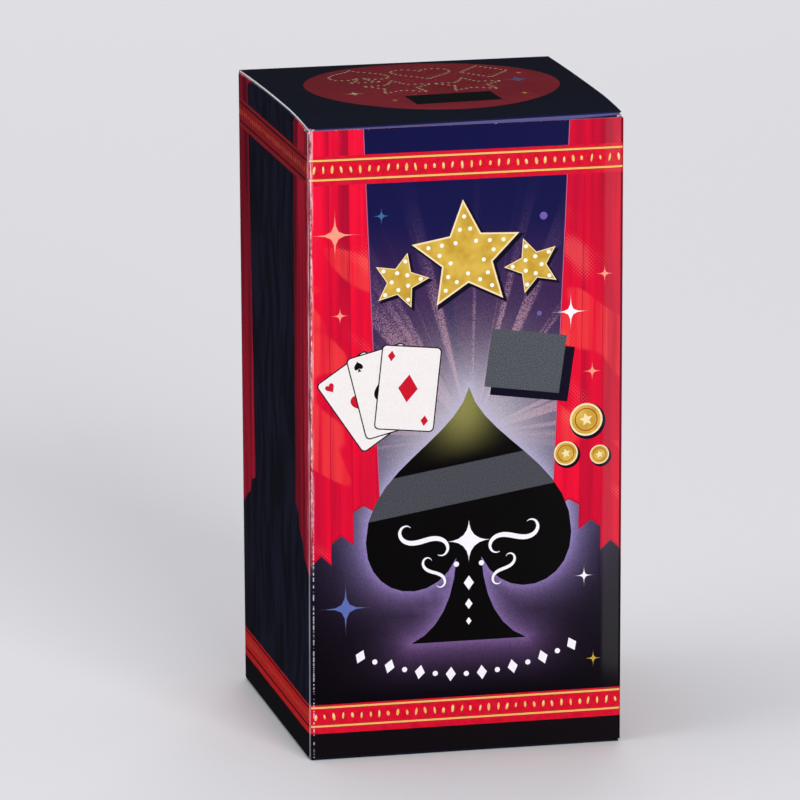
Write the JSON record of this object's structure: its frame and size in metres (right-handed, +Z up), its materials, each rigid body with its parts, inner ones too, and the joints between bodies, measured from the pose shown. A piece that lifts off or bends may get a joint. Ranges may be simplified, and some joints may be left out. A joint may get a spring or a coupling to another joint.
{
  "type": "printed folding carton with coin drawer box",
  "caption": "Square printed tuck-end carton with hinged lids, tuck and dust flaps, holding a drawer box with a secret flap, coins and a folded leaflet.",
  "frame": {"origin": "centre of the carton's base, where it rests", "axes": "+Z up along the carton's height, -Y out of the front panel, which has the main print, +X to that panel's right seen from the front"},
  "size_m": [0.065, 0.065, 0.1309],
  "materials": {
    "printed_front": "gloss varnished print",
    "printed_side": "gloss varnished print",
    "printed_lid": "gloss varnished print",
    "raw_board": "matt",
    "leaflet_paper": "matt",
    "sleeve_plastic": "gloss moulded",
    "drawer_plastic": "gloss moulded",
    "knob_brass": "polished",
    "bright_steel": "turned",
    "felt": "napped",
    "coin_metal": "satin"
  },
  "bodies": {
    "carton": {"front_panel": "printed_front", "back_panel": "printed_front", "left_panel": "printed_side", "right_panel": "printed_side", "glue_flap": "raw_board", "instruction_leaflet": "leaflet_paper", "coin_box_sleeve": "sleeve_plastic", "coin_box_end_cap": "sleeve_plastic"},
    "top_lid": {"top_lid_panel": "printed_lid"},
    "top_tuck": {"top_tuck_flap": "printed_lid"},
    "top_dust_left": {"top_dust_flap_left": "raw_board"},
    "top_dust_right": {"top_dust_flap_right": "raw_board"},
    "bottom_lid": {"bottom_lid_panel": "printed_lid"},
    "bottom_tuck": {"bottom_tuck_flap": "printed_lid"},
    "bottom_dust_left": {"bottom_dust_flap_left": "raw_board"},
    "bottom_dust_right": {"bottom_dust_flap_right": "raw_board"},
    "drawer": {"drawer_tray": "drawer_plastic", "drawer_face_plate": "drawer_plastic", "drawer_knob": "knob_brass", "knob_screw": "bright_steel", "drawer_felt_pad": "felt", "flap_hinge_pin": "bright_steel", "coins": "coin_metal"},
    "flap": {"secret_flap": "drawer_plastic"}
  },
  "joints": [
    {"name": "top_lid_crease", "type": "hinge", "parent": "carton", "child": "top_lid", "pos_m": [0, 0.0325, 0.13], "axis": [-1, 0, 0], "range_deg": [0, 160]},
    {"name": "top_tuck_crease", "type": "hinge", "parent": "top_lid", "child": "top_tuck", "pos_m": [0, -0.03148, 0.12964], "axis": [1, 0, 0], "range_deg": [0, 45]},
    {"name": "top_dust_left_crease", "type": "hinge", "parent": "carton", "child": "top_dust_left", "pos_m": [-0.0325, 0, 0.1295], "axis": [0, -1, 0], "range_deg": [0, 80]},
    {"name": "top_dust_right_crease", "type": "hinge", "parent": "carton", "child": "top_dust_right", "pos_m": [0.0325, 0, 0.1295], "axis": [0, 1, 0], "range_deg": [0, 80]},
    {"name": "bottom_lid_crease", "type": "hinge", "parent": "carton", "child": "bottom_lid", "pos_m": [0, 0.0325, 0], "axis": [1, 0, 0], "range_deg": [0, 160]},
    {"name": "bottom_tuck_crease", "type": "hinge", "parent": "bottom_lid", "child": "bottom_tuck", "pos_m": [0, -0.03147, 0.0004], "axis": [-1, 0, 0], "range_deg": [0, 20]},
    {"name": "bottom_dust_left_crease", "type": "hinge", "parent": "carton", "child": "bottom_dust_left", "pos_m": [-0.0325, 0, 0.0005], "axis": [0, 1, 0], "range_deg": [0, 80]},
    {"name": "bottom_dust_right_crease", "type": "hinge", "parent": "carton", "child": "bottom_dust_right", "pos_m": [0.0325, 0, 0.0005], "axis": [0, -1, 0], "range_deg": [0, 80]},
    {"name": "drawer_slide", "type": "slide", "parent": "carton", "child": "drawer", "axis": [0, 0, 1], "range_m": [0, 0.038]},
    {"name": "secret_flap_hinge", "type": "hinge", "parent": "drawer", "child": "flap", "pos_m": [0, 0.0186, 0.0391], "axis": [-1, 0, 0], "range_deg": [0, 175]}
  ],
  "couplings": [
    {"joint": "top_dust_left_crease", "follows": "top_lid_crease", "ratio": 0.5},
    {"joint": "top_dust_right_crease", "follows": "top_lid_crease", "ratio": 0.5},
    {"joint": "bottom_dust_left_crease", "follows": "bottom_lid_crease", "ratio": 0.5},
    {"joint": "bottom_dust_right_crease", "follows": "bottom_lid_crease", "ratio": 0.5}
  ]
}
